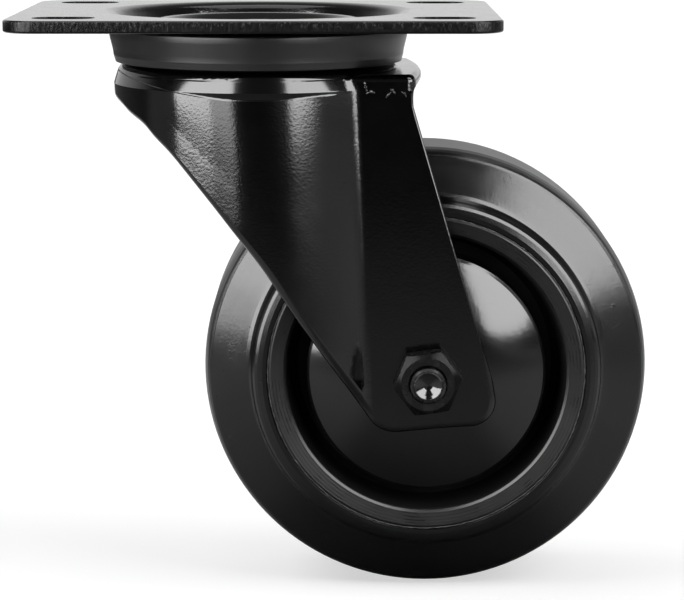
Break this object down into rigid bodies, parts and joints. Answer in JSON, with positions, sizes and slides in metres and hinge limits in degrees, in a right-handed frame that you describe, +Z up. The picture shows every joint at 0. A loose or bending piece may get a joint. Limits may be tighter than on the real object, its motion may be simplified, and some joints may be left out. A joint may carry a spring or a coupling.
{
  "type": "swivel castor",
  "caption": "Swivel castor with a slotted rectangular top plate, a pressed fork on a ball-bearing swivel head, and a rubber-tyred wheel on ball bearings.",
  "frame": {"origin": "on the swivel axis, at the top (mounting) face of the plate", "axes": "+Z up, out of the mounting face, along the swivel axis; +X the way the wheel trails at rest, along the plate's long side; Y along the wheel's axle, with the nut on the -Y side"},
  "size_m": [0.1812, 0.105, 0.1669],
  "materials": {
    "plate_paint": "black powder coat, worn to speckles on the edges",
    "fork_paint": "glossy black powder coat with orange peel",
    "seal_plastic": "satin",
    "black_fastener": "glossy black over steel",
    "bare_steel": "plain zinc",
    "bearing_steel": "ground",
    "ball_steel": "polished",
    "core_plastic": "satin moulded",
    "cover_gloss": "glossy",
    "tyre_rubber": "smooth black rubber"
  },
  "bodies": {
    "plate": {"top_plate": "plate_paint", "king_pin": "bare_steel", "lower_race_cup": "fork_paint"},
    "fork": {"fork": "fork_paint", "dust_ring": "seal_plastic", "axle_bolt": "black_fastener", "axle_nut": "black_fastener", "axle_sleeve": "bare_steel", "nut_side_spacer": "bare_steel", "head_side_spacer": "bare_steel", "inner_spacer": "bare_steel", "nut_side_inner_ring": "bearing_steel", "head_side_inner_ring": "bearing_steel"},
    "wheel": {"tyre": "tyre_rubber", "wheel_core": "core_plastic", "nut_side_hub_cover": "cover_gloss", "head_side_hub_cover": "cover_gloss", "nut_side_outer_ring": "bearing_steel", "head_side_outer_ring": "bearing_steel", "nut_side_outer_shield": "bare_steel", "nut_side_inner_shield": "bare_steel", "head_side_outer_shield": "bare_steel", "head_side_inner_shield": "bare_steel"},
    "upper_ball_ring": {"upper_balls": "ball_steel"},
    "lower_ball_ring": {"lower_balls": "ball_steel"},
    "nut_side_ball_ring": {"nut_side_bearing_balls": "ball_steel", "nut_side_ball_cage": "bare_steel"},
    "head_side_ball_ring": {"head_side_bearing_balls": "ball_steel", "head_side_ball_cage": "bare_steel"}
  },
  "joints": [
    {"name": "swivel", "type": "hinge", "parent": "plate", "child": "fork", "pos_m": [0, 0, 0], "axis": [0, 0, 1], "continuous": true},
    {"name": "wheel_spin", "type": "hinge", "parent": "fork", "child": "wheel", "pos_m": [0.0485, 0, -0.1027], "axis": [0, 1, 0], "continuous": true},
    {"name": "upper_ball_orbit", "type": "hinge", "parent": "plate", "child": "upper_ball_ring", "pos_m": [0, 0, 0], "axis": [0, 0, 1], "continuous": true},
    {"name": "lower_ball_orbit", "type": "hinge", "parent": "plate", "child": "lower_ball_ring", "pos_m": [0, 0, 0], "axis": [0, 0, 1], "continuous": true},
    {"name": "nut_side_cage_turn", "type": "hinge", "parent": "fork", "child": "nut_side_ball_ring", "pos_m": [0.0485, 0, -0.1027], "axis": [0, 1, 0], "continuous": true},
    {"name": "head_side_cage_turn", "type": "hinge", "parent": "fork", "child": "head_side_ball_ring", "pos_m": [0.0485, 0, -0.1027], "axis": [0, 1, 0], "continuous": true}
  ],
  "couplings": [
    {"joint": "upper_ball_orbit", "follows": "swivel", "ratio": 0.5},
    {"joint": "lower_ball_orbit", "follows": "swivel", "ratio": 0.5},
    {"joint": "nut_side_cage_turn", "follows": "wheel_spin", "ratio": 0.619},
    {"joint": "head_side_cage_turn", "follows": "wheel_spin", "ratio": 0.619}
  ]
}
